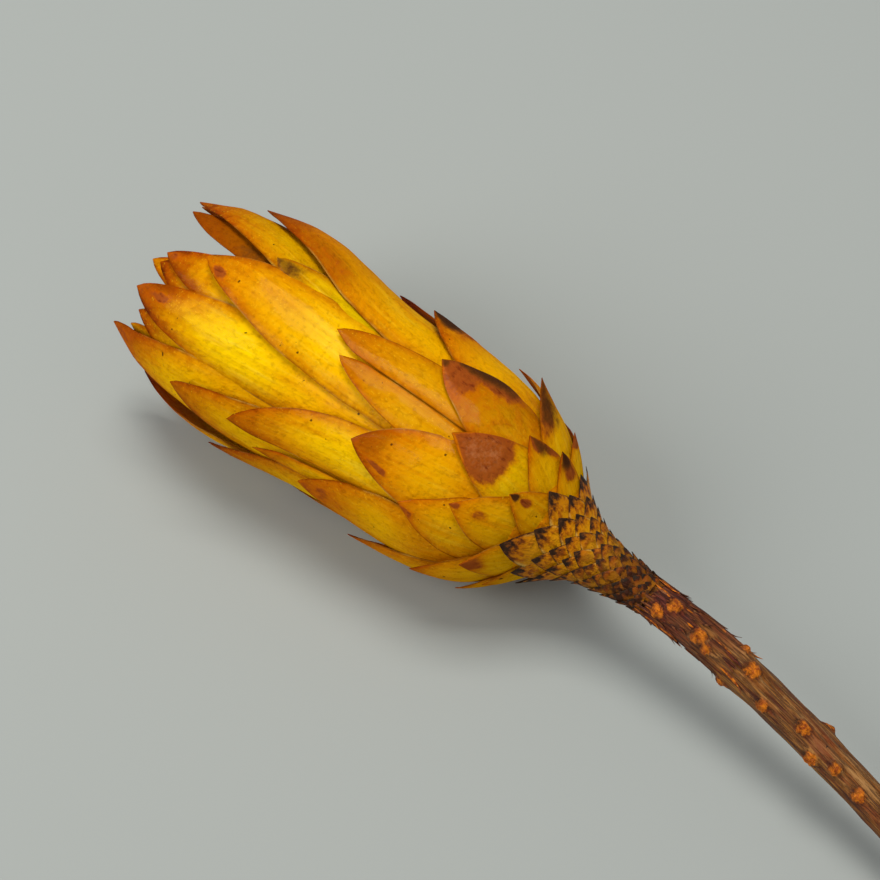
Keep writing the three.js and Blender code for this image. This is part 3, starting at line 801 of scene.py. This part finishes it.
def neck(material):
    """The small scales of the neck, on a rough tapered core."""
    blank = blade_blank(SCALE_COLUMNS, SCALE_ROWS)
    parts = []
    for number in range(FIRST_SCALE, FIRST_BRACT):
        form = bract_form(number)
        length = max(SCALE_LENGTH, SCALE_SHAPE * form["width"])
        form["root"] = max(form["tip"] - length, NECK_FOOT)
        point_outline(form)
        form["hand"] = 2 * chance(number, 4) - 1
        form["curl"] = form["sway"] = 0
        form["crown"], form["press"] = SCALE_CROWN, SCALE_PRESS
        form["lift"] = 0.12 * chance(number, 6) - (0.2 if form["tip"] < TOP_ROWS else 0.55)
        form["steep"] = SCALE_STEEPNESS
        piece = copy_of(blank, f"scale_{number - FIRST_SCALE}")
        darkness = min(max((DARK_START - form["tip"]) / DARK_SPAN, 0), 1)
        shape_blade(piece, form, lambda u, s, skin: ((0, 0, 0, 1), 0, 0), darkness)
        parts.append(piece)
    bpy.data.objects.remove(blank)
    finish_piece(join(parts, "neck_scale_spiral"), material, "neck_scales", 50)


def cores(cup_finish, neck_finish):
    """The cup that the bracts grow from, and the neck's own middle."""
    cup = [(head_radius(h) - core_depth(h), h) for h in CUP_HEIGHTS]
    cup += [(CUP_RADIUS, RECEPTACLE_TOP), (CUP_RADIUS, CUP_FLOOR + CUP_BEVEL),
            (CUP_RADIUS - CUP_BEVEL, CUP_FLOOR)]
    middle = [(head_radius(h) - neck_core_depth(h), h) for h in NECK_CORE_HEIGHTS]
    for name, outline, node, slot, finish in (
            ("receptacle", cup, "bracts", "bract", cup_finish),
            ("neck_core", middle, "neck_scales", "scale", neck_finish)):
        piece = turned_piece(name, outline, CORE_SIDES)
        corners = piece.data.vertices
        paint(piece.data, "grain", [tuple(corner.co / MM) for corner in corners])
        paint(piece.data, "share", [(0.5, 0.5, 0.9)] * len(corners))
        paint(piece.data, "marks", [(0.3, 0.9, 0)] * len(corners))
        paint(piece.data, "tints", [(0.2, 0, 0, 0)] * len(corners), "FLOAT_COLOR")
        finish_piece(piece, finish, node, 50)


# ------------------------------------------------------------------ florets

STYLE_COUNT, HAIR_COUNT = 150, 350
FLORET_FOOT, FLORET_REACH = 50, 8.0    # height of their feet, and radius of the whole bundle
FLORET_CORE = [(3, 37), (7.4, 38), (7.8, 56), (7.6, 70), (5, 78)]     # radius and height
FLORET_CORE_SIDES = 24
FLORET_STEP = math.radians(137.508)    # turn from one floret to the next
STYLE_TOP, HAIR_TOP = 88.5, 86         # height of the highest tips
STYLE_RADIUS, HAIR_RADIUS = 0.42, 0.13
MOST_LEAN = 1.6                        # how far a tip leans out of line


def florets(material):
    """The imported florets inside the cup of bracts, each a slim hairy style."""
    thick_blank, thin_blank = tube_blank(6, 8), tube_blank(3, 5)
    core = turned_piece("floret_core", FLORET_CORE, FLORET_CORE_SIDES)
    paint(core.data, "share", [(0, 0.3, 0.8)] * len(core.data.vertices))
    parts = [core]
    for number in range(STYLE_COUNT + HAIR_COUNT):
        hair = number >= STYLE_COUNT
        share = (number % STYLE_COUNT + 0.5) / STYLE_COUNT
        foot_radius = FLORET_REACH * math.sqrt(share)
        turn = number * FLORET_STEP
        top = (HAIR_TOP - 4 * share - 7 * chance(number, 12) if hair
               else STYLE_TOP - 5 * share - 3 * chance(number, 11))
        thick = HAIR_RADIUS if hair else STYLE_RADIUS
        lean_turn = turn + 2.5 * (chance(number, 13) - 0.5)
        lean = MOST_LEAN * chance(number, 14)
        piece = copy_of(thin_blank if hair else thick_blank, f"style_{number}")
        places, share_values = [], []
        for vertex in piece.data.vertices:
            along = vertex.co.z
            height = FLORET_FOOT + (top - FLORET_FOOT) * along
            club = 1 + (0.5 * math.exp(-((along - 0.95) / 0.03) ** 2) if not hair else 0)
            slim = thick * (1 - 0.45 * along) * club * (0.25 if along > 0.99 else 1)
            inward = 1 - 0.25 * along ** 3
            out = HEAD_UP * math.cos(turn) + HEAD_SIDE * math.sin(turn)
            bend = HEAD_UP * math.cos(lean_turn) + HEAD_SIDE * math.sin(lean_turn)
            centre = out * foot_radius * inward + bend * lean * along ** 2 * (1 - share)
            ring = HEAD_UP * vertex.co.x + HEAD_SIDE * vertex.co.y
            places.extend((NECK + HEAD_AXIS * height + centre + ring * slim) * MM)
            share_values.append((0, along, chance(number, 15)))
        piece.data.vertices.foreach_set("co", places)
        paint(piece.data, "share", share_values)
        parts.append(piece)
    bpy.data.objects.remove(thick_blank)
    bpy.data.objects.remove(thin_blank)
    finish_piece(join(parts, "floret_bundle"), material, "florets", 60)


# ------------------------------------------------------------------ stem

STEM_SIDES, STEM_STEPS = 44, 280
CUT_RINGS = (0.13, 0.3, 0.32, 0.06)    # widths of the rings on the cut end, for a radius of 1
CURVE_STEPS = 40                       # steps of the middle line between two of its points
FRAYED_LENGTH = 11                     # how far out the bark is frayed
FIBRE_COUNT = 120
FIBRE_START, FIBRE_SPREAD = -1.6, 18   # where along the stem the fibres start


def stem_line():
    """The stem's middle line: a smooth curve through its points, as [(distance, place)]."""
    points = [Vector(point) for point in STEM_PATH]
    points = [points[0] * 2 - points[1]] + points + [points[-1] * 2 - points[-2]]
    line, distance = [(0.0, points[1])], 0.0
    for k in range(1, len(points) - 2):
        before, start, end, after = points[k - 1:k + 3]
        gaps = [math.sqrt((b - a).length) for a, b in
                ((before, start), (start, end), (end, after))]
        leave = ((start - before) / gaps[0] - (end - before) / (gaps[0] + gaps[1])
                 + (end - start) / gaps[1]) * gaps[1]
        arrive = ((end - start) / gaps[1] - (after - start) / (gaps[1] + gaps[2])
                  + (after - end) / gaps[2]) * gaps[1]
        for step in range(1, CURVE_STEPS + 1):
            t = step / CURVE_STEPS
            place = (start * (2 * t ** 3 - 3 * t ** 2 + 1) + leave * (t ** 3 - 2 * t ** 2 + t)
                     + end * (3 * t ** 2 - 2 * t ** 3) + arrive * (t ** 3 - t ** 2))
            distance += (place - line[-1][1]).length
            line.append((distance, place))
    return line


LINE = stem_line()
STEM_LENGTH = LINE[-1][0]


def along_stem(distance):
    """The place, direction, top and side of the stem at a distance from the neck."""
    k = 0
    while k < len(LINE) - 2 and distance > LINE[k + 1][0]:
        k += 1
    (d0, p0), (d1, p1) = LINE[k], LINE[k + 1]
    place = p0.lerp(p1, (distance - d0) / (d1 - d0))
    k0, k1 = max(k - 2, 0), min(k + 3, len(LINE) - 1)
    heading = (LINE[k1][1] - LINE[k0][1]).normalized()
    side = heading.cross(Vector((0, 0, 1))).normalized()
    return place, heading, side.cross(heading), side


def stem_scars():
    """Leaf scars: the ones near the neck listed one by one, and the rest by the same spiral."""
    scars = [(along, math.radians(turn)) for along, turn in FIRST_SCARS]
    for k in range(MORE_SCARS):
        along = MORE_SCARS_START + SCAR_STEP * k + SCAR_WOBBLE * chance(k, 20)
        scars.append((along, math.radians(SPIRAL_STEP * k + SCAR_TURN)))
    return scars


def stem(material):
    """The stem: furrowed bark, frayed under the neck, with raised leaf scars."""
    piece = tube_blank(STEM_SIDES, STEM_STEPS)
    bpy.ops.object.mode_set(mode="EDIT")
    for width in CUT_RINGS:
        bpy.ops.mesh.inset(thickness=width)
    bpy.ops.object.mode_set(mode="OBJECT")

    scars = stem_scars()
    places, grain, tints = [], [], []
    for vertex in piece.data.vertices:
        along = vertex.co.z * STEM_LENGTH
        turn = math.atan2(vertex.co.y, vertex.co.x)
        inside = math.hypot(vertex.co.x, vertex.co.y)
        radius = stem_thickness(along)
        x, y = math.cos(turn), math.sin(turn)
        # a slow swell, the taper under the neck, and coarse and fine furrows
        frayed = math.exp(-(along / FRAYED_LENGTH) ** 2)
        radius += 0.22 * wander(x * 2.2, y * 2.2, along * 0.09) - 0.5 * math.exp(-along / 0.5)
        radius += (0.13 + 0.2 * frayed) * wander(x * 6, y * 6, along * 0.16 + 50)
        radius += (0.1 + 0.1 * frayed) * wander(x * 12, y * 12, along * 0.3)
        scar_mask = pit_mask = 0.0
        for number, (scar_along, scar_turn) in enumerate(scars):
            ahead = along - scar_along
            if abs(ahead) > 6:
                continue
            aside = radius * math.remainder(turn - scar_turn, 2 * math.pi)
            size = 0.72 + 0.42 * chance(number, 21)
            away = math.hypot(ahead / (1.5 * size), aside / (1.15 * size))
            swell = math.exp(-away ** 4)
            shoulder = math.exp(-(ahead / 3.6) ** 2 - (aside / 2.2) ** 2)
            pit = math.exp(-((ahead + 1.1 * size) / 0.55) ** 2 - (aside / 0.6) ** 2)
            lumps = 0.75 + 0.9 * wander(ahead * 1.8, aside * 1.8, number * 9.0)
            radius += swell * 0.75 * size * lumps + 0.22 * shoulder - 0.55 * pit
            scar_mask = max(scar_mask, swell * min(lumps + 0.2, 1))
            pit_mask = max(pit_mask, pit)
        place, heading, top, side = along_stem(along)
        end = 1 if vertex.co.z > 0.9999 and inside < 0.99 else 0
        radius *= inside
        sunk = (0.15 * wander(x * inside * 5, y * inside * 5, 3) - 0.35 * (inside < 0.25)) * end
        point = NECK + (place - Vector(STEM_PATH[0])) + (top * x + side * y) * radius
        point += heading * sunk
        point.z = max(point.z, 0.0)
        places.extend(point * MM)
        grain.append((x * radius, y * radius, along))
        tints.append((scar_mask, frayed, end, pit_mask))
    piece.data.vertices.foreach_set("co", places)
    paint(piece.data, "grain", grain)
    paint(piece.data, "tints", tints, "FLOAT_COLOR")
    finish_piece(piece, material, "stem", 60)
    piece.name = "stem_of_furrowed_bark"


def stem_fibres(material):
    """Loose fibres of old bark, frayed out of the stem just under the neck."""
    blank = tube_blank(4, 7)
    parts = []
    for number in range(FIBRE_COUNT):
        start = FIBRE_START + FIBRE_SPREAD * chance(number, 30) ** 1.6
        length = 2.5 + 5 * chance(number, 31)
        turn0 = 2 * math.pi * chance(number, 32)
        lift = 0.15 + 0.75 * chance(number, 33) ** 3
        thick, twist = 0.09 + 0.12 * chance(number, 34), 0.5 * (chance(number, 35) - 0.5)
        piece = copy_of(blank, f"fibre_{number}")
        places, grain = [], []
        for vertex in piece.data.vertices:
            u, skin, s = vertex.co
            along = start + length * s
            place, heading, top, side = along_stem(max(along, 0))
            place = place + heading * min(along, 0)
            slim = thick * (1 - abs(2 * s - 1) ** 3 * 0.75)
            radius = stem_thickness(along) + 0.12 + lift * abs(2 * s - 1) ** 3 * (s > 0.5)
            turn = turn0 + twist * s + u * slim * 1.4 / radius
            out = top * math.cos(turn) + side * math.sin(turn)
            point = NECK + (place - Vector(STEM_PATH[0])) + out * (radius + skin * slim)
            places.extend(point * MM)
            grain.append((math.cos(turn) * radius, math.sin(turn) * radius, along + number))
        piece.data.vertices.foreach_set("co", places)
        piece.data.flip_normals()
        paint(piece.data, "grain", grain)
        orange = chance(number, 36) ** 4
        paint(piece.data, "tints", [(orange, 0.8, 0, 0)] * len(grain), "FLOAT_COLOR")
        parts.append(piece)
    bpy.data.objects.remove(blank)
    finish_piece(join(parts, "frayed_bark_fibres"), material, "stem", 60)


# ------------------------------------------------------------------ stage, light and camera

CAMERA_AZIMUTH, CAMERA_ELEVATION = math.radians(38.204), math.radians(55)
CAMERA_DISTANCE = 404.92
CAMERA_TARGET = Vector((-0.693, 4.771, 14.6))
CAMERA_LENS, CAMERA_SENSOR = 100, 36


def stage_and_camera():
    deselect()
    bpy.ops.mesh.primitive_plane_add(size=3, location=(0, 0, 0))
    floor = bpy.context.object
    floor.name = "floor"
    floor.data.materials.append(matt_floor())

    away = Vector((math.sin(CAMERA_AZIMUTH) * math.cos(CAMERA_ELEVATION),
                   -math.cos(CAMERA_AZIMUTH) * math.cos(CAMERA_ELEVATION),
                   math.sin(CAMERA_ELEVATION)))
    lens = bpy.data.cameras.new("camera")
    lens.lens, lens.sensor_width = CAMERA_LENS, CAMERA_SENSOR
    lens.clip_start = 0.01
    camera = bpy.data.objects.new("camera", lens)
    camera.location = (CAMERA_TARGET + away * CAMERA_DISTANCE) * MM
    camera.rotation_euler = away.to_track_quat("Z", "Y").to_euler()
    bpy.context.scene.collection.objects.link(camera)
    bpy.context.scene.camera = camera

    for name, place, size, energy, tone in [
            ("key", (-0.08, 0.14, 0.85), 0.4, 4.85, (1.0, 0.985, 0.95)),
            ("fill", (-0.45, -0.6, 0.6), 0.6, 5.2, (1.0, 0.99, 0.97))]:
        light = bpy.data.lights.new(name, "AREA")
        light.shape, light.size, light.energy, light.color = "SQUARE", size, energy, tone
        lamp = bpy.data.objects.new(name, light)
        lamp.location = place
        lamp.rotation_euler = Vector(place).to_track_quat("Z", "Y").to_euler()
        bpy.context.scene.collection.objects.link(lamp)
    world = bpy.data.worlds.new("soft_room")
    world.use_nodes = True
    world.node_tree.nodes["Background"].inputs[0].default_value = (0.9, 0.95, 1.0, 1)
    world.node_tree.nodes["Background"].inputs[1].default_value = 0.3
    bpy.context.scene.world = world
    bpy.context.scene.view_settings.view_transform = "Standard"


stage_and_camera()
waxy, scaly, barky = waxy_bract(), dry_scale(), furrowed_bark()
bracts(waxy)
neck(scaly)
stem(barky)
stem_fibres(barky)
florets(silky_floret())
cores(waxy, scaly)
